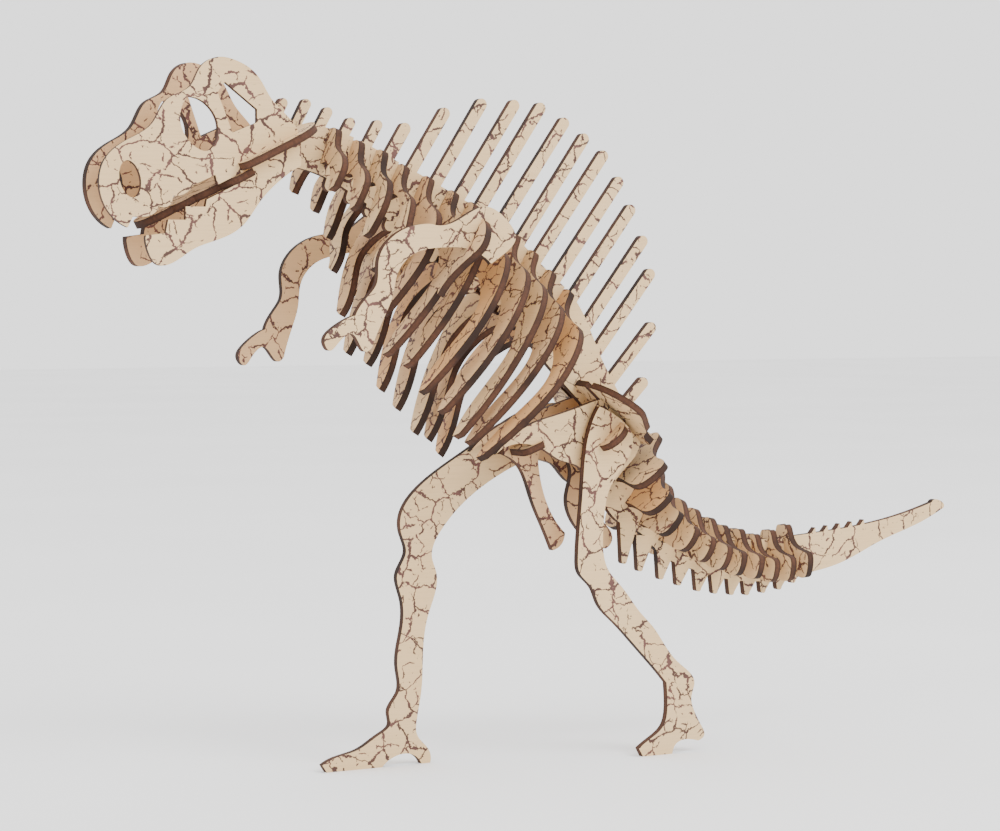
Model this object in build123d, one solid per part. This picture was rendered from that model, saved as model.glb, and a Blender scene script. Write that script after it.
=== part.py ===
from build123d import *
from math import cos, radians, sin
import os

# Slot-together plywood skeleton of a sail-backed dinosaur.
#
# Every piece is a flat plate of one sheet thickness. Side plates stand parallel to the
# middle plane (y = 0); cross plates hold the Y axis and a direction in the XZ plane, called
# the lean of the plate and given in degrees above +X. Plates that cross are halved: each has
# a slot from one edge to the middle of the crossing. The head points to -X, the right side
# of the animal is +Y, and the soles stand on z = 0.
# Outlines are drawn around a point on the floor near the hips, and the finished pieces are
# moved together so that the origin is under the middle of the whole model.

SHEET = 3.0            # plywood thickness
EASE = 0.05            # clearance on each side of a slot
SLOT = SHEET + 2 * EASE
THROUGH = 4 * SHEET    # length of a cutter that has to pass a whole plate
FINGER = 4.8           # width of a sail finger

# Where the side plates stand, as distances from the middle plane
SKULL_REAR = -95.0     # rear edge of the head, where the skull plates are furthest apart
SKULL_Y = 20.0
SKULL_YAW = 9.0        # the two skull plates close in towards the snout
SKULL_AHEAD = -4.3     # how far the turned skull plates stand ahead of their side view
SKULL_LENGTH = 0.96    # their length as a share of the side view's
ARM_Y = 40.0
HIP_Y = 10.5
LEG_Y = 15.5
ISCHIUM_Y = 5.0

# Backbone stations: the notches between the sail fingers where the ribs drop in
STATIONS = [(-76, 255.5), (-66, 251), (-55.6, 247.5), (-46, 242), (-34.8, 237.5), (-23.5, 232),
            (-14.5, 227.5), (-4.5, 222), (5, 215.5), (13.5, 208.5), (22, 200.5), (30.5, 192.5)]
RIB_LEAN = [71.5, 71.5, 68, 63.5, 62.5, 60, 60, 59.5, 59, 59.5, 56, 53.5]
RIB_LENGTH = [26, 29, 37, 47, 62, 75, 75, 81, 83, 86, 83, 83.5]
RIB_REACH = [22, 22.5, 24, 31, 33, 35, 32, 38, 38, 35, 37, 41]
RIB_GAP = [18, 18, 18, 19, 19, 18, 18, 19, 20, 19, 18, 18]
SPINE_DEPTH = [19, 19, 21, 21.5, 23, 24.5, 26, 27, 27, 28, 27, 26.5]
NECK_RIBS = 4          # the first ribs have a high arch that leaves the neck in view
NECK_ARCH = -14.5      # top of their arch
SLOT_SHARE = 0.4       # share of the backbone's depth that its slots take

# Sail fingers: base on the backbone, length and lean
FINGERS = [((-102, 257), 11, 62), ((-92, 257), 11, 62), ((-82, 256), 9, 60),
           ((-71, 254), 7, 60), ((-61, 250), 11, 60), ((-51, 246), 15, 58),
           ((-41, 241), 29, 57), ((-30, 236), 40, 57), ((-19.2, 230.6), 47, 56),
           ((-10, 226), 52, 55.5), ((0, 220), 53, 54.5), ((9, 213), 54, 54.5),
           ((17, 206), 55, 53.5), ((26, 198), 52, 53), ((34, 190), 48, 52.5),
           ((41, 179), 46, 52), ((46, 168), 43, 51), ((53, 156), 31, 48),
           ((60, 146), 14, 45), ((63, 133), 10, 42)]

# Tail ribs: lower inner point on the tail plate, lean, height, and half widths
TAIL_FEET = [(54, 114), (60, 103), (67, 94), (77, 87), (87, 82), (97, 78),
             (106, 75), (116, 73), (125, 71), (134, 71), (143, 72)]
TAIL_LEAN = [42, 48, 59, 67, 74, 79, 84, 87, 89, 91, 93]
TAIL_HEIGHT = [26, 19, 19, 18, 18, 17.5, 17, 17, 16.5, 18, 19]
TAIL_REACH = [28, 27, 26, 25, 23.5, 22, 20.5, 19.5, 18.5, 18, 18]
TAIL_KNOB = [10, 14, 14, 13, 11, 10, 8, 6.5, 5.5, 5, 5]

# Lower teeth of the tail: round tip, length and width at the root
TAIL_TEETH = [((59, 80), 18, 9), ((67, 76.5), 14, 9), ((77.5, 72.5), 12, 9), ((86.5, 69.5), 10, 9),
              ((96.5, 66.5), 9, 8.5), ((105, 65), 8, 8), ((113.5, 64), 8, 8), ((121.5, 63.5), 7, 7.5),
              ((130, 64), 7, 7.5), ((138.5, 65), 6, 7), ((146, 67.5), 5, 7)]

# Cross plates of the head and the pelvis: a point of each plane, its lean, and the levels
# along the lean where its slots meet the slots of the side plates
NAPE_POINT = (-106, 248)
NAPE_LEAN = 27
NAPE_NECK = 4.0
PALATE_POINT = (-127, 233)
PALATE_SKULL = 4.0
SHOULDER = 5           # index of the rib that carries the arms
ARM_SLOT = -23.0
ARM_SWING = {-1: 0.0, 1: 7.0}
ARM_AHEAD = {-1: -1.0, 1: -5.0}
SACRUM_POINT = (44, 147)
SACRUM_LEAN = -42
SACRUM_SPINE = -2.0
SACRUM_HIP = 3.0
HIP_POINT = (43, 133)
HIP_LEAN = 42
HIP_TENON = 14.0       # width of the hip cross plate where it passes the legs
HIP_SPINE = 5.5
HIP_TAIL = -4.5
MOON = 7.0             # how far its half-moon ends stand out
TOOTH_TIP = 1.3        # tip radius of the lower tail teeth
PUBIS_POINT = (9, 129)
PUBIS_LEAN = 20


def side_plane(y, yaw=0.0, at_x=0.0):
    """Plane of a side plate: drawing axes are +X and +Z, the plate stands at y."""
    turn = radians(yaw)
    return Plane(origin=(at_x, y, 0), x_dir=(cos(turn), sin(turn), 0), z_dir=(sin(turn), -cos(turn), 0))


def cross_plane(point, lean):
    """Plane of a cross plate: drawing axes are +Y and the lean direction."""
    turn = radians(lean)
    return Plane(origin=(point[0], 0, point[1]), x_dir=(0, 1, 0), z_dir=(sin(turn), 0, -cos(turn)))


def along(point, lean, distance):
    """The point a distance along a lean direction in the XZ plane."""
    turn = radians(lean)
    return (point[0] + distance * cos(turn), point[1] + distance * sin(turn))


def outline(*runs):
    """Face inside a closed line of runs; a run of three or more points is a smooth curve."""
    edges = []
    for run in runs:
        edges.append(Spline(*run) if len(run) > 2 else Line(*run))
    return make_face(Curve() + edges)


def plate(plane, sketch):
    """The sheet of plywood on both sides of a plane."""
    return extrude(plane * sketch, amount=SHEET / 2, both=True)


def finger(base, lean, length, width, root):
    """A straight finger with a round tip, rooted a little below its base."""
    start = along(base, lean, -root)
    tip = along(base, lean, length - width / 2)
    middle = along(start, lean, (root + length - width / 2) / 2)
    bar = Pos(*middle) * Rot(0, 0, lean) * Rectangle(root + length - width / 2, width)
    return bar + Pos(*tip) * Circle(width / 2)


def cross_slot(plane, y, low, high):
    """Cutter for a cross plate: the slot that a side plate at y needs, low to high."""
    box = Box(SLOT, high - low, THROUGH)
    return plane * Pos(y, (low + high) / 2, 0) * box


def side_slot(plane, y, low, high):
    """Cutter for a side plate at y: the slot that the cross plate of a plane needs."""
    box = Box(THROUGH, high - low, SLOT)
    return plane * Pos(y, (low + high) / 2, 0) * box


def mirrored(half):
    """A sketch and its mirror image across the middle plane."""
    return half + mirror(half, Plane.YZ)


# ---- backbone, sail and ribs -------------------------------------------------------


def rib_plane(index):
    """Cross plane of a rib, with its zero at the backbone station."""
    return cross_plane(STATIONS[index], RIB_LEAN[index])


def slot_level(index):
    """Where a rib's slot and the spine's slot meet, below the station."""
    return -SLOT_SHARE * SPINE_DEPTH[index]


def arch_top(index):
    """Top of the opening under a rib."""
    return NECK_ARCH if index < NECK_RIBS else -SPINE_DEPTH[index] - 1


def rib_sketch(index):
    """A crescent arch with a narrow head that drops into the backbone from above."""
    length = RIB_LENGTH[index]
    reach = RIB_REACH[index]
    gap = RIB_GAP[index]
    web = arch_top(index)
    bar = min(9.0, 0.34 * reach)
    low = gap + 2 + 0.6 * (reach - gap - 2)
    long_rib = length > 40
    middle = -0.33 * length - 0.4 * reach
    tip = (gap - bar / 4, -length)
    outer = [(3, 0), (7, -1.3), (9, -6)]
    outer = outer + [(0.52 * reach, -min(0.3 * reach + 3, 0.33 * length))]
    outer = outer + [(0.8 * reach, -min(0.4 * reach + 4, 0.45 * length))]
    outer = outer + [(0.97 * reach, -min(0.6 * reach + 7, 0.6 * length))]
    if long_rib:
        outer = outer + [(reach, middle)]
    outer = outer + [(low, -0.78 * length), (gap + 1.5, 1.5 - length)]
    inner = [tip, (low - bar, -0.76 * length)]
    if long_rib:
        inner = inner + [(reach - bar, middle)]
    inner = inner + [(0.55 * reach, web - 3), (3, web)]
    seam = [[inner[-1], (-1, web)], [(-1, web), (-1, 0)], [(-1, 0), outer[0]]]
    return mirrored(outline(outer, [outer[-1], tip], inner, *seam))


def shoulder_lobe():
    """The wing of the shoulder rib that carries an arm plate."""
    wing = outline([(18, -12), (30, -13), (41, -14), (49, -20), (51, -26), (46, -32), (40, -38), (36, -48)],
                   [(36, -48), (27, -34)], [(27, -34), (18, -12)])
    return mirrored(wing)


def rib(index):
    """One rib with its slot from below, up to the level where the backbone's slot ends."""
    sketch = rib_sketch(index)
    if index == SHOULDER:
        sketch = sketch + shoulder_lobe()
    plane = rib_plane(index)
    piece = plate(plane, sketch) - cross_slot(plane, 0, arch_top(index) - 10, slot_level(index) + EASE)
    if index == SHOULDER:
        for y in (-ARM_Y, ARM_Y):
            piece = piece - cross_slot(plane, y, ARM_SLOT - EASE, 10)
    return piece


def spine_sketch():
    """Neck and backbone band with the sail fingers above and a tooth between ribs below."""
    upper = [(-114, 252), (-92, 257)] + STATIONS[0::2] + [(34, 190), (47, 166), (62, 140), (66, 131)]
    lower = [(55, 129), (46, 138), (34, 150), (20, 164), (9, 176), (-8, 192), (-30, 207),
             (-48, 218.5), (-66, 229.5), (-80, 237), (-100, 241), (-114, 240)]
    band = outline(upper, [upper[-1], lower[0]], lower, [lower[-1], upper[0]])
    for base, length, lean in FINGERS:
        band = band + finger(base, lean, length, FINGER if length > 12 else 4.0, 6)
    for index in range(len(STATIONS) - 1):
        first = along(STATIONS[index], RIB_LEAN[index], -SPINE_DEPTH[index])
        second = along(STATIONS[index + 1], RIB_LEAN[index + 1], -SPINE_DEPTH[index + 1])
        middle = ((first[0] + second[0]) / 2, (first[1] + second[1]) / 2)
        band = band + finger(middle, RIB_LEAN[index] + 180, 4, 4.6, 8)
    return band


def spine_plate():
    """The backbone plate with a slot from above for every rib and one in front for the nape."""
    piece = plate(side_plane(0), spine_sketch())
    for index in range(len(STATIONS)):
        piece = piece - side_slot(rib_plane(index), 0, slot_level(index) - EASE, 9)
    piece = piece - side_slot(nape_plane(), 0, -40, NAPE_NECK + EASE)
    piece = piece - side_slot(sacrum_plane(), 0, SACRUM_SPINE - EASE, 40)
    return piece - side_slot(hip_cross_plane(), 0, -20, HIP_SPINE + EASE)


# ---- head --------------------------------------------------------------------------


def nape_plane():
    """Cross plane behind the head, with its zero where it is halved with the skull."""
    return cross_plane(NAPE_POINT, NAPE_LEAN)


def palate_plane():
    """Cross plane in the mouth, with its zero near the corner of the mouth."""
    return cross_plane(PALATE_POINT, NAPE_LEAN)


def turned(points):
    """Points of the side view of the head, laid on a skull plate that is turned inwards."""
    return [(SKULL_AHEAD + SKULL_LENGTH * (x - SKULL_REAR), z) for x, z in points]


def skull_y(x):
    """Distance of a skull plate from the middle plane."""
    return SKULL_Y + (x - SKULL_REAR) * sin(radians(SKULL_YAW))


def skull_sketch():
    """Head with the mouth open, around the rear edge of the skull."""
    crown = [(-95, 247), (-98, 256), (-107, 265), (-113, 274), (-121, 279), (-130, 280), (-136, 276),
             (-140, 269), (-149, 264), (-155, 255), (-166, 248), (-174, 241), (-176, 230), (-172, 221),
             (-165, 216)]
    upper_jaw = [[(-165, 216), (-163, 220)], [(-163, 220), (-159, 220), (-155, 221), (-153, 224)],
                 [(-153, 224), (-149, 224), (-147, 228)], [(-147, 228), (-142, 229), (-139, 232)],
                 [(-139, 232), (-130, 236)], [(-130, 236), (-129, 232)]]
    lower_jaw = [[(-129, 232), (-133, 229)], [(-133, 229), (-134, 224)], [(-134, 224), (-142, 224)],
                 [(-142, 224), (-142, 219)], [(-142, 219), (-149, 219)], [(-149, 219), (-150, 214)],
                 [(-150, 214), (-158, 213)]]
    chin = [(-158, 213), (-157, 207), (-153, 202), (-147, 203), (-139, 208), (-128, 212), (-119, 217),
            (-112, 226), (-104, 234), (-95, 240)]
    sides = [crown, *upper_jaw, *lower_jaw, chin, [chin[-1], crown[0]]]
    head = outline(*[turned(run) for run in sides])
    nostril = Pos(*turned([(-164, 234)])[0]) * Rot(0, 0, 12) * Ellipse(4, 7)
    eye = [(-141, 265), (-144, 258), (-140, 248), (-133, 245), (-129, 251), (-132, 261), (-141, 265)]
    corners = [(-126, 271), (-113, 261), (-113, 256), (-123, 252), (-129, 267)]
    temple = [turned([start, end]) for start, end in zip(corners, corners[1:] + corners[:1])]
    return head - nostril - outline(turned(eye)) - outline(*temple)


def skull_plane(side):
    """Plane of one side of the head, with its zero on the rear edge."""
    return side_plane(side * SKULL_Y, side * SKULL_YAW, SKULL_REAR)


def skull_plate(side):
    """One side of the head; side is -1 for the left and 1 for the right."""
    piece = plate(skull_plane(side), skull_sketch())
    piece = piece - side_slot(nape_plane(), side * skull_y(NAPE_POINT[0]), -EASE, 40)
    return piece - side_slot(palate_plane(), side * skull_y(PALATE_POINT[0]), -12, PALATE_SKULL + EASE)


def skull_slab(side):
    """The space of a skull plate with slot clearance, for cutting the cross plates."""
    return skull_plane(side) * Pos(-40, 240, 0) * Box(160, 160, SLOT)


def nape_plate():
    """Cross plate behind the head, slotted for both skull plates and for the neck."""
    plane = nape_plane()
    end = [(6, 16), (18, 16), (25, 9), (25, -9), (23, -18), (15, -19)]
    sketch = mirrored(outline([(-1, 16), (6, 16)], end, [(15, -19), (7, -9), (-1, -9)], [(-1, -9), (-1, 16)]))
    piece = plate(plane, sketch)
    for side in (-1, 1):
        region = plane * Pos(side * SKULL_Y, EASE - 20, 0) * Box(2 * THROUGH, 40, THROUGH)
        piece = piece - (skull_slab(side) & region)
    return piece - cross_slot(plane, 0, NAPE_NECK - EASE, 40)


def palate_plate():
    """Cross plate that fills the mouth, with toothed sides, slotted from behind."""
    plane = palate_plane()
    half = outline([(-1, 10), (18.5, 10)], [(18.5, 10), (18.5, 3)], [(18.5, 3), (12.4, -3)],
                   [(12.4, -3), (11.4, -10), (9.6, -13)], [(9.6, -13), (9.6, -19), (7.8, -22)],
                   [(7.8, -22), (7.8, -28), (5, -33), (-1, -35)], [(-1, -35), (-1, 10)])
    piece = plate(plane, mirrored(half))
    for side in (-1, 1):
        region = plane * Pos(side * SKULL_Y, PALATE_SKULL - EASE + 10, 0) * Box(2 * THROUGH, 20, THROUGH)
        piece = piece - (skull_slab(side) & region)
    return piece


# ---- arms --------------------------------------------------------------------------


def arm_sketch():
    """Shoulder blade, bent elbow and a two-fingered hand."""
    back = [(-53, 218), (-41, 220), (-29, 225), (-20, 220), (-16, 213), (-21, 207), (-27, 203)]
    under = [(-27, 203), (-35, 208), (-50, 209), (-60, 207), (-68, 199), (-70, 191), (-74, 182), (-79, 171)]
    hand = [(-79, 171), (-82, 169.5), (-87, 176), (-93, 173), (-97, 170), (-99, 173), (-96, 178), (-86, 183)]
    front = [(-86, 183), (-81, 190), (-77, 195), (-76, 204), (-70, 213), (-62, 217), (-53, 218)]
    return outline(back, under, hand, front)


def arm_plate(side):
    """One arm, hooked down over the lobe of the shoulder rib."""
    plane = rib_plane(SHOULDER)
    pivot = along(STATIONS[SHOULDER], RIB_LEAN[SHOULDER], ARM_SLOT)
    swing = Pos(*pivot) * Rot(0, 0, ARM_SWING[side]) * Pos(-pivot[0], -pivot[1])
    piece = plate(side_plane(side * ARM_Y), Pos(ARM_AHEAD[side], 0) * swing * arm_sketch())
    return piece - side_slot(plane, side * ARM_Y, -60, ARM_SLOT + EASE)


# ---- pelvis and legs ---------------------------------------------------------------


def sacrum_plane():
    """Cross plane of the roof plate over the hips."""
    return cross_plane(SACRUM_POINT, SACRUM_LEAN)


def hip_cross_plane():
    """Cross plane of the plate that carries the legs."""
    return cross_plane(HIP_POINT, HIP_LEAN)


def pubis_plane():
    """Cross plane of the small plate in front of the hips."""
    return cross_plane(PUBIS_POINT, PUBIS_LEAN)


def sacrum_plate():
    """Wavy roof plate over the hips, halved with the backbone and both pelvis sides."""
    plane = sacrum_plane()
    edge = [(10, -11), (21, -7), (28, -1), (31, 6), (27, 12), (23, 17), (19, 19), (17, 25)]
    half = outline([(-1, -12), (10, -11)], edge, [(17, 25), (-1, 24)], [(-1, 24), (-1, -12)])
    piece = plate(plane, mirrored(half))
    piece = piece - cross_slot(plane, 0, -30, SACRUM_SPINE + EASE)
    for y in (-HIP_Y, HIP_Y):
        piece = piece - cross_slot(plane, y, -30, SACRUM_HIP + EASE)
    return piece


def hip_sketch():
    """Side of the pelvis: pointed in front, a round lobe below the hip joint."""
    top = [(-9, 127), (-1, 134), (7, 138.5), (19, 142), (32, 145.7), (40, 148), (48, 148), (57, 142), (60, 133)]
    bottom = [(60, 133), (58.5, 126), (50, 117), (44, 112), (37, 114), (30, 121), (21, 124), (15, 127.5),
              (3, 131), (-9, 127)]
    return outline(top, bottom)


def hip_plate(side):
    """One side of the pelvis with slots for the roof plate and both cross plates."""
    piece = plate(side_plane(side * HIP_Y), hip_sketch())
    piece = piece - side_slot(sacrum_plane(), side * HIP_Y, SACRUM_HIP - EASE, 40)
    piece = piece - side_slot(hip_cross_plane(), side * HIP_Y, -HIP_TENON / 2, HIP_TENON / 2)
    return piece - side_slot(pubis_plane(), side * HIP_Y, -20, EASE)


def hip_cross_plate():
    """Plate through both legs; its half-moon ends stand out beyond them."""
    plane = hip_cross_plane()
    reach = LEG_Y + SHEET / 2
    half = HIP_TENON / 2 - EASE
    bar = Rectangle(2 * reach, 2 * half)
    ends = Pos(reach, 0) * Ellipse(MOON, half) + Pos(-reach, 0) * Ellipse(MOON, half)
    piece = plate(plane, bar + ends)
    for y in (0, ISCHIUM_Y):
        piece = piece - cross_slot(plane, y, -20, HIP_TAIL + EASE)
    return piece - cross_slot(plane, 0, HIP_SPINE - EASE, 20)


def leg_left_sketch():
    """The left leg, stepping back."""
    front = [(37, 145.5), (33, 138), (30.3, 127), (29, 112), (27.8, 99), (26.7, 84), (27.5, 78),
             (33.5, 71.5), (36.5, 65), (44, 57), (54, 47), (70, 30)]
    toe = [(70, 30), (70.5, 22), (68.5, 12), (61, 6.5), (56.5, 3.5)]
    arch = [(73, 0), (76.5, 5), (81, 5.5), (86, 4.5)]
    spur = [(86, 4.5), (89, 6.5), (88, 10)]
    back = [(88, 10), (84, 17), (82.5, 23), (84, 29), (76, 38), (63, 54), (57, 60), (48, 71), (41, 79),
            (38.7, 89.5), (39.5, 102), (42, 112), (47, 119), (52, 126), (53, 133), (48, 139.5), (37, 145.5)]
    return outline(front, toe, [(56.5, 3.5), (58.5, 0)], [(58.5, 0), (73, 0)], arch, spur, back)


def leg_right_sketch():
    """The right leg, stepping forward."""
    front = [(35, 146), (20, 143), (-5, 129), (-38, 94), (-36, 87), (-40, 78), (-38, 68), (-38, 55), (-40, 40),
             (-39.5, 30), (-44, 22), (-43.5, 17), (-48, 13.5), (-58, 8), (-70, 5), (-74, 3)]
    arch = [(-47, 0), (-41, 4), (-33, 4), (-29, 0)]
    back = [(-25, 0), (-26, 6), (-31, 12), (-31, 19), (-29, 30), (-26, 60), (-22, 78), (-24, 84), (-19, 96),
            (6, 116), (28, 122), (46, 118), (56, 126), (54, 135), (46, 142), (35, 146)]
    return outline(front, [(-74, 3), (-72, 0)], [(-72, 0), (-47, 0)], arch, [(-29, 0), (-25, 0)], back)


def leg_plate(side):
    """One leg with the through slot for the hip cross plate."""
    sketch = leg_left_sketch() if side < 0 else leg_right_sketch()
    piece = plate(side_plane(side * LEG_Y), sketch)
    return piece - side_slot(hip_cross_plane(), side * LEG_Y, -HIP_TENON / 2, HIP_TENON / 2)


def pubis_cross_plate():
    """Small cross plate in front of the hips that carries the pubis."""
    plane = pubis_plane()
    piece = plate(plane, RectangleRounded(26.5, 11, 3))
    for y in (-HIP_Y, HIP_Y):
        piece = piece - cross_slot(plane, y, -EASE, 20)
    return piece - cross_slot(plane, 0, -20, EASE)


def pubis():
    """The long bone that hangs forward of the legs."""
    sketch = outline([(1, 126), (6, 135), (14, 134), (17, 124)], [(17, 124), (19, 112), (23, 102), (30, 93)],
                     [(30, 93), (28, 88), (24, 86)], [(24, 86), (20, 95), (14, 108), (9, 120), (1, 126)])
    piece = plate(side_plane(0), sketch)
    return piece - side_slot(pubis_plane(), 0, -EASE, 20)


def ischium():
    """The bone behind the hips, beside the root of the tail."""
    sketch = outline([(33, 124), (36, 116), (34, 107), (37, 97), (45, 89), (53, 85)],
                     [(53, 85), (56, 88), (55, 93)],
                     [(55, 93), (48, 103), (46, 116), (50, 128), (40, 134), (33, 124)])
    piece = plate(side_plane(ISCHIUM_Y), sketch)
    return piece - side_slot(hip_cross_plane(), ISCHIUM_Y, HIP_TAIL - EASE, 20)


# ---- tail --------------------------------------------------------------------------


def tail_plane(index):
    """Cross plane of a tail rib, with its zero at the rib's lower inner point."""
    return cross_plane(TAIL_FEET[index], TAIL_LEAN[index])


def tail_rib(index):
    """A wide low wing with a broad round knob on top, slotted from below."""
    reach = TAIL_REACH[index]
    height = TAIL_HEIGHT[index]
    knob = TAIL_KNOB[index]
    wing = [(-1, -0.5), (0.5 * reach, -1.5), (0.88 * reach, -1.5), (reach, 0.15 * height),
            (reach, 0.42 * height), (knob + 0.55 * (reach - knob), 0.52 * height),
            (knob, 0.78 * height), (0.7 * knob, height), (-1, height)]
    half = outline(wing, [wing[-1], wing[0]])
    plane = tail_plane(index)
    piece = plate(plane, mirrored(half))
    return piece - cross_slot(plane, 0, -10, 0.5 * height)


def tail_tooth(tip, length, root):
    """A tapered tooth under the tail, with a round tip."""
    left, right, top = tip[0] - TOOTH_TIP, tip[0] + TOOTH_TIP, tip[1] + length
    tooth = Polygon((left, tip[1]), (right, tip[1]), (left + root, top), (left - 1, top), align=None)
    return tooth + Pos(*tip) * Circle(TOOTH_TIP)


def tail_sketch():
    """The tail: a tapering band with tapered teeth below and small teeth above near the end."""
    upper = [(36, 131), (41, 133), (46, 130), (54, 124), (66, 116), (77, 106), (90, 96), (105, 89), (125, 86),
             (150, 87), (190, 91), (222, 98.5)]
    point = [(222, 98.5), (227, 99), (229, 97), (227, 95)]
    lower = [(227, 95), (216, 90), (192, 82), (172, 74), (152, 70), (134, 68), (110, 70), (90, 76), (76, 83),
             (66, 92), (57, 96), (50, 103), (43, 114), (35, 124), (36, 131)]
    band = outline(upper, point, lower)
    for tip, length, root in TAIL_TEETH:
        band = band + tail_tooth(tip, length, root)
    for number in range(5):
        base = (156 + 6.6 * number, 86.5 + 0.6 * number)
        tooth = Polygon((-3, -2), (2.6, -2), (1.6, 3.4), align=None)
        band = band + Pos(*base) * tooth
    return band


def tail_plate():
    """The tail plate with a slot from above for every tail rib."""
    piece = plate(side_plane(0), tail_sketch())
    for index in range(len(TAIL_FEET)):
        piece = piece - side_slot(tail_plane(index), 0, 0.5 * TAIL_HEIGHT[index] - EASE, 30)
    return piece - side_slot(hip_cross_plane(), 0, HIP_TAIL - EASE, 20)


# ---- whole model -------------------------------------------------------------------


def pieces():
    """Every piece by the name of its file."""
    made = {"spine_plate": spine_plate(), "tail_plate": tail_plate()}
    for side, name in ((-1, "left"), (1, "right")):
        made["skull_" + name] = skull_plate(side)
        made["arm_" + name] = arm_plate(side)
        made["hip_" + name] = hip_plate(side)
        made["leg_" + name] = leg_plate(side)
    made["nape_plate"] = nape_plate()
    made["palate_plate"] = palate_plate()
    made["sacrum_plate"] = sacrum_plate()
    made["hip_cross_plate"] = hip_cross_plate()
    made["pubis_cross_plate"] = pubis_cross_plate()
    made["pubis"] = pubis()
    made["ischium"] = ischium()
    for index in range(len(STATIONS)):
        made["rib_%02d" % (index + 1)] = rib(index)
    for index in range(len(TAIL_FEET)):
        made["tail_rib_%02d" % (index + 1)] = tail_rib(index)
    return made


def main():
    """Write every piece, moved so that the origin is under the middle of the model."""
    made = pieces()
    whole = Compound(children=[Compound(part.solids()) for part in made.values()]).bounding_box()
    shift = Pos(-(whole.min.X + whole.max.X) / 2, 0, -whole.min.Z)
    print("size", whole.size, "shift", shift.position)
    os.makedirs("parts", exist_ok=True)
    for name, part in made.items():
        solids = (shift * part).solids()
        export_step(solids[0] if len(solids) == 1 else Compound(solids), "parts/" + name + ".step")


main()
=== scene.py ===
# Looks of the slot-together plywood dinosaur: printed crackle faces and scorched edges.
import bpy
import math
import random
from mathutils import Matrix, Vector

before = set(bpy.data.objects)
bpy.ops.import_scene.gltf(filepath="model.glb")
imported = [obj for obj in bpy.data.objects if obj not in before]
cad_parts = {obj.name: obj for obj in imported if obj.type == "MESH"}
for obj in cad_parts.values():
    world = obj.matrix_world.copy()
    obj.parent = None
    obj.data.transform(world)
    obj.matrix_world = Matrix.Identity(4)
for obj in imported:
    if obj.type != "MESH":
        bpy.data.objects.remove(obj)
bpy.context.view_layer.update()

# ---- sizes, in metres unless named otherwise ----------------------------------------
MM = 0.001
SHEET = 3 * MM                 # plywood thickness
SCORCH_RELIEF = 0.12 * MM      # depth of the bump on faces and edges
PRINT_STEP = (37.0, 11.0)      # how far apart two plates lie on the printed sheet, in mm
BACK_STEP = 211.0              # how far the back of a plate lies from its front, in mm
CAMERA_AZIMUTH = 30.0          # degrees to the animal's left of straight ahead
CAMERA_PITCH = 2.45            # degrees below the horizon
CAMERA_DISTANCE = 1.1146
CAMERA_TARGET = (-0.0264, 0.0, 0.142)
CAMERA_LENS = 98.7             # millimetres
CAMERA_SENSOR = 36.0           # millimetres wide
STUDIO_MIDDLE = (0, 0, 0.15)   # what the lamps point at
WORLD_LIGHT = 1.9
KEY_WATTS = 42
FILL_WATTS = 10
FLOOR_SIZE = 12.0

CREAM = (0.670, 0.470, 0.250)
# The next two tones are painted shade: the darker, warmer look of faces in shadow.
SHADE_TAN = (0.570, 0.350, 0.180)
SHADE_ORANGE = (0.600, 0.330, 0.135)
BLOOM = (0.640, 0.420, 0.200)
GRAIN = (0.400, 0.250, 0.120)
INK = (0.045, 0.014, 0.015)
INK_WORN = (0.100, 0.036, 0.035)
CHAR = (0.020, 0.008, 0.004)
EMBER = (0.085, 0.031, 0.014)


# ---- node helpers -------------------------------------------------------------------

class Nodes:
    """Adds nodes to one material and links them."""

    def __init__(self, material):
        material.use_nodes = True
        self.tree = material.node_tree
        self.tree.nodes.clear()

    def add(self, kind, inputs=(), **settings):
        made = self.tree.nodes.new(kind)
        for name, value in settings.items():
            setattr(made, name, value)
        for key, value in dict(inputs).items():
            self.put(made.inputs[key], value)
        return made

    def put(self, socket, value):
        if isinstance(value, bpy.types.NodeSocket):
            self.tree.links.new(value, socket)
        else:
            socket.default_value = value

    def math(self, operation, first, second=0.0, third=0.0):
        return self.add("ShaderNodeMath", {0: first, 1: second, 2: third}, operation=operation).outputs[0]

    def dot(self, vector, direction):
        made = self.add("ShaderNodeVectorMath", {0: vector, 1: direction}, operation="DOT_PRODUCT")
        return made.outputs["Value"]

    def range(self, value, low, high, to_low=0.0, to_high=1.0):
        made = self.add("ShaderNodeMapRange", {0: value, 1: low, 2: high, 3: to_low, 4: to_high},
                        interpolation_type="SMOOTHSTEP")
        return made.outputs[0]

    def noise(self, vector, scale, detail=2.0, roughness=0.5, colour=False):
        made = self.add("ShaderNodeTexNoise", {"Vector": vector, "Scale": scale, "Detail": detail,
                                               "Roughness": roughness})
        return made.outputs["Color" if colour else "Fac"]

    def mix(self, share, first, second):
        made = self.add("ShaderNodeMix", data_type="RGBA")
        self.put(made.inputs["Factor"], share)
        self.put(made.inputs["A"], first)
        self.put(made.inputs["B"], second)
        return made.outputs["Result"]


def rgba(colour):
    return (*colour, 1.0)


# ---- plywood ------------------------------------------------------------------------

def sheet_axes(node):
    """Normal, in-plane axes and middle of a flat plate, from its mesh."""
    areas = {}
    for face in node.data.polygons:
        n = face.normal
        key = tuple(round(abs(c), 2) for c in n)
        areas.setdefault(key, [0.0, n.copy()])[0] += face.area
    normal = max(areas.values(), key=lambda item: item[0])[1].normalized()
    if normal.y < -0.5 or (abs(normal.y) < 0.5 and normal.x > 0):
        normal = -normal
    across = Vector((1, 0, 0)) if abs(normal.y) > 0.5 else Vector((0, 1, 0))
    across = (across - normal * across.dot(normal)).normalized()
    levels = [normal.dot(v.co) for v in node.data.vertices]
    return normal, across, normal.cross(across), (min(levels) + max(levels)) / 2


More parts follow.
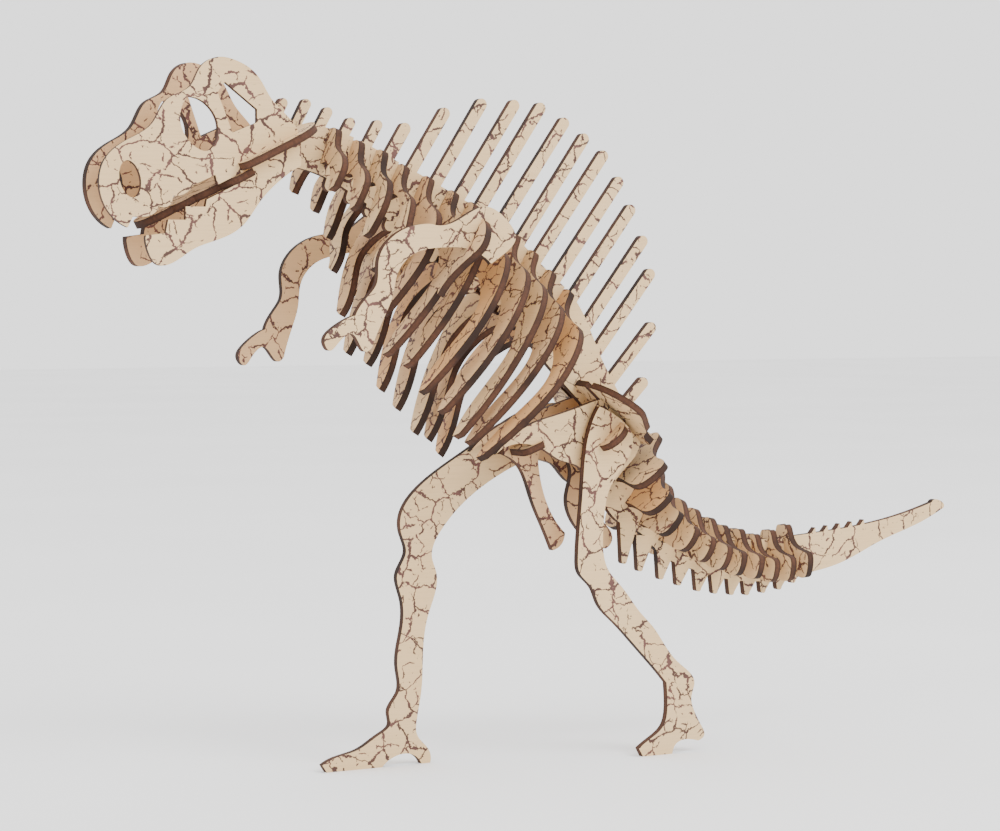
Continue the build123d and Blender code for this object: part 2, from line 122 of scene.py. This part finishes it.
def crack_lines(n, place, cell, width, keep, seed):
    """Lines of a cracked surface: cell and line width in mm, keep is how much of them shows."""
    offset = (seed, seed * 0.7, 0)
    moved = n.add("ShaderNodeVectorMath", {0: place, 1: offset}, operation="ADD").outputs[0]
    coarse = n.noise(moved, 0.9 / cell, 2.0, 0.5, colour=True)
    fine = n.noise(moved, 6.5 / cell, 3.0, 0.65, colour=True)
    bent = n.add("ShaderNodeVectorMath", {0: coarse, 1: (cell * 0.9,) * 3, 2: moved},
                 operation="MULTIPLY_ADD").outputs[0]
    bent = n.add("ShaderNodeVectorMath", {0: fine, 1: (cell * 0.26,) * 3, 2: bent},
                 operation="MULTIPLY_ADD").outputs[0]
    cells = n.add("ShaderNodeTexVoronoi", {"Vector": bent, "Scale": 1 / cell, "Randomness": 1.0},
                  feature="DISTANCE_TO_EDGE", voronoi_dimensions="2D")
    away = n.math("MULTIPLY", cells.outputs["Distance"], cell)
    swell = n.range(n.noise(moved, 2.2 / cell, 1.0), 0.3, 0.7, 0.45 * width, width)
    line = n.math("SUBTRACT", 1.0, n.range(away, n.math("MULTIPLY", swell, 0.72), swell))
    shown = n.range(n.noise(moved, 1.35 / cell, 1.0), 0.49 - keep, 0.52 - keep)
    return n.math("MULTIPLY", line, shown)


def printed_face(n, place, is_inner, outer, inner):
    """Colour, ink and grain of a printed face, in millimetres along the sheet."""
    wide = crack_lines(n, place, 13.0, 0.68, 0.15, 3.0)
    medium = crack_lines(n, place, 9.0, 0.46, -0.01, 17.0)
    small = crack_lines(n, place, 3.8, 0.28, -0.15, 29.0)
    ink = n.math("MAXIMUM", wide, n.math("MAXIMUM", medium, small))
    ink_tone = n.mix(n.range(n.noise(place, 0.11, 1.0), 0.40, 0.62), rgba(INK), rgba(INK_WORN))

    bloom = n.range(n.noise(place, 0.035, 2.0), 0.35, 0.75)
    # Painted shade: base takes the tan tone on faces that look into the body.
    base = n.mix(is_inner, rgba(outer), rgba(inner))
    wood = n.mix(n.math("MULTIPLY", bloom, 0.40), base, rgba(BLOOM))
    stretched = n.add("ShaderNodeMapping", {"Vector": place, "Scale": (0.06, 1.6, 1.0)}).outputs[0]
    grain = n.noise(stretched, 1.0, 3.0, 0.6)
    wood = n.mix(n.range(grain, 0.42, 0.72, 0.0, 0.18), wood, rgba(GRAIN))
    return n.mix(n.math("MULTIPLY", ink, 0.96), wood, ink_tone), ink, grain


def scorched_edge(n, spot, depth):
    """Laser-cut edge: charred outer plies, a redder core in patches, and fine streaks."""
    core = n.range(depth, 0.10 * SHEET, 0.42 * SHEET, 1.0, 0.0)
    streak = n.noise(spot, 900.0, 2.0)
    patch = n.noise(spot, 38.0, 2.0)
    glow = n.math("MULTIPLY", n.range(patch, 0.36, 0.60), n.range(core, 0.0, 1.0, 0.45, 1.0))
    share = n.math("MULTIPLY", glow, n.range(streak, 0.3, 0.7, 0.6, 1.0))
    return n.mix(share, rgba(CHAR), rgba(EMBER)), streak


def plywood(node, outer, inner, seed):
    """Printed plywood for one flat plate: outer is the tone of the face towards -normal; a tan tone on
    either face is painted shade.
    """
    normal, across, along, middle = sheet_axes(node)
    material = bpy.data.materials.new("plywood_" + node.name)
    n = Nodes(material)
    where = n.add("ShaderNodeTexCoord")
    spot = where.outputs["Object"]
    facing = n.dot(where.outputs["Normal"], tuple(normal))
    is_face = n.range(n.math("ABSOLUTE", facing), 0.6, 0.8)
    is_inner = n.range(facing, -0.1, 0.1)
    x = n.math("MULTIPLY_ADD", n.dot(spot, tuple(across)), 1 / MM, seed * PRINT_STEP[0])
    y = n.math("MULTIPLY_ADD", n.dot(spot, tuple(along)), 1 / MM, seed * PRINT_STEP[1])
    x = n.math("MULTIPLY_ADD", is_inner, BACK_STEP, x)
    place = n.add("ShaderNodeCombineXYZ", {0: x, 1: y, 2: 0.0}).outputs[0]

    face_colour, ink, grain = printed_face(n, place, is_inner, outer, inner)
    depth = n.math("ABSOLUTE", n.math("SUBTRACT", n.dot(spot, tuple(normal)), middle))
    edge_colour, streak = scorched_edge(n, spot, depth)

    height = n.math("MULTIPLY_ADD", grain, 0.25, n.math("MULTIPLY", ink, -0.35))
    is_edge = n.math("SUBTRACT", 1.0, is_face)
    height = n.math("MULTIPLY_ADD", streak, n.math("MULTIPLY", is_edge, 0.8), height)
    bump = n.add("ShaderNodeBump", {"Height": height, "Strength": 0.35, "Distance": SCORCH_RELIEF})
    rough = n.math("MULTIPLY_ADD", grain, 0.16, n.range(is_face, 0.0, 1.0, 0.72, 0.56))
    shader = n.add("ShaderNodeBsdfPrincipled",
                   {"Base Color": n.mix(is_face, edge_colour, face_colour), "Roughness": rough,
                    "Normal": bump.outputs[0], "Specular IOR Level": 0.3})
    out = n.add("ShaderNodeOutputMaterial")
    n.tree.links.new(shader.outputs[0], out.inputs[0])
    return material


def dress(node, material):
    node.data.materials.clear()
    node.data.materials.append(material)


def between(first, second, share):
    return tuple(a + (b - a) * share for a, b in zip(first, second))


def paint_all():
    """Every plate gets its own stretch of print; the side that looks inwards is tan, painted shade."""
    random.seed(7)
    # Painted shade: these cross plates get an orange or tan tone on their inward face.
    shade_tints = {"rib_08": SHADE_ORANGE, "rib_12": SHADE_ORANGE, "tail_rib_02": SHADE_ORANGE, "rib_05": SHADE_TAN}
    # Painted shade: pubis and ischium sit under the belly and are tan on both faces.
    shaded_both_faces = ("pubis", "ischium")
    for number, (name, node) in enumerate(sorted(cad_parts.items())):
        side_plate = abs(sheet_axes(node)[0].y) > 0.5
        # Random strength of the painted shade on the inward face of the other cross plates.
        tone = random.uniform(0.15, 0.75)
        if name in shaded_both_faces:
            outer, inner = SHADE_TAN, SHADE_TAN
        # Painted shade: a faint tan on the right leg's face that looks into the body.
        elif name == "leg_right":
            outer, inner = between(CREAM, SHADE_TAN, 0.15), CREAM
        # Painted shade: side plates are tan on the face that looks into the body.
        elif side_plate and name.endswith("right"):
            outer, inner = SHADE_TAN, CREAM
        elif side_plate and name.endswith("left"):
            outer, inner = CREAM, SHADE_TAN
        elif side_plate:
            outer, inner = CREAM, CREAM
        else:
            outer, inner = CREAM, shade_tints.get(name, between(CREAM, SHADE_TAN, tone))
        dress(node, plywood(node, outer, inner, number + 1))


# ---- studio -------------------------------------------------------------------------

def floor():
    bpy.ops.mesh.primitive_plane_add(size=FLOOR_SIZE, location=(0, 0, 0))
    made = bpy.context.object
    made.name = "floor"
    material = bpy.data.materials.new("floor")
    n = Nodes(material)
    where = n.add("ShaderNodeTexCoord").outputs["Object"]
    tone = n.mix(n.range(n.noise(where, 3.0), 0.3, 0.7), (0.90, 0.90, 0.90, 1), (0.93, 0.93, 0.93, 1))
    shader = n.add("ShaderNodeBsdfPrincipled", {"Base Color": tone, "Roughness": 0.85})
    out = n.add("ShaderNodeOutputMaterial")
    n.tree.links.new(shader.outputs[0], out.inputs[0])
    made.data.materials.append(material)


def area_light(name, place, aim, size, watts):
    data = bpy.data.lights.new(name, "AREA")
    data.energy = watts
    data.size = size
    light = bpy.data.objects.new(name, data)
    bpy.context.scene.collection.objects.link(light)
    light.location = place
    light.rotation_euler = (Vector(aim) - Vector(place)).to_track_quat("-Z", "Y").to_euler()


def lights():
    world = bpy.data.worlds.new("studio")
    bpy.context.scene.world = world
    world.use_nodes = True
    background = world.node_tree.nodes["Background"]
    background.inputs["Color"].default_value = (1.0, 1.0, 1.0, 1)
    background.inputs["Strength"].default_value = WORLD_LIGHT
    area_light("key", (0.9, -1.6, 1.7), STUDIO_MIDDLE, 1.2, KEY_WATTS)
    area_light("fill", (-1.8, -0.8, 0.9), STUDIO_MIDDLE, 1.6, FILL_WATTS)


def camera():
    azimuth, pitch = math.radians(CAMERA_AZIMUTH), math.radians(CAMERA_PITCH)
    level = math.cos(pitch)
    ahead = Vector((math.sin(azimuth) * level, math.cos(azimuth) * level, -math.sin(pitch)))
    data = bpy.data.cameras.new("camera")
    data.lens = CAMERA_LENS
    data.sensor_width = CAMERA_SENSOR
    made = bpy.data.objects.new("camera", data)
    bpy.context.scene.collection.objects.link(made)
    made.location = Vector(CAMERA_TARGET) - ahead * CAMERA_DISTANCE
    made.rotation_euler = ahead.to_track_quat("-Z", "Y").to_euler()
    bpy.context.scene.camera = made


paint_all()
floor()
lights()
camera()
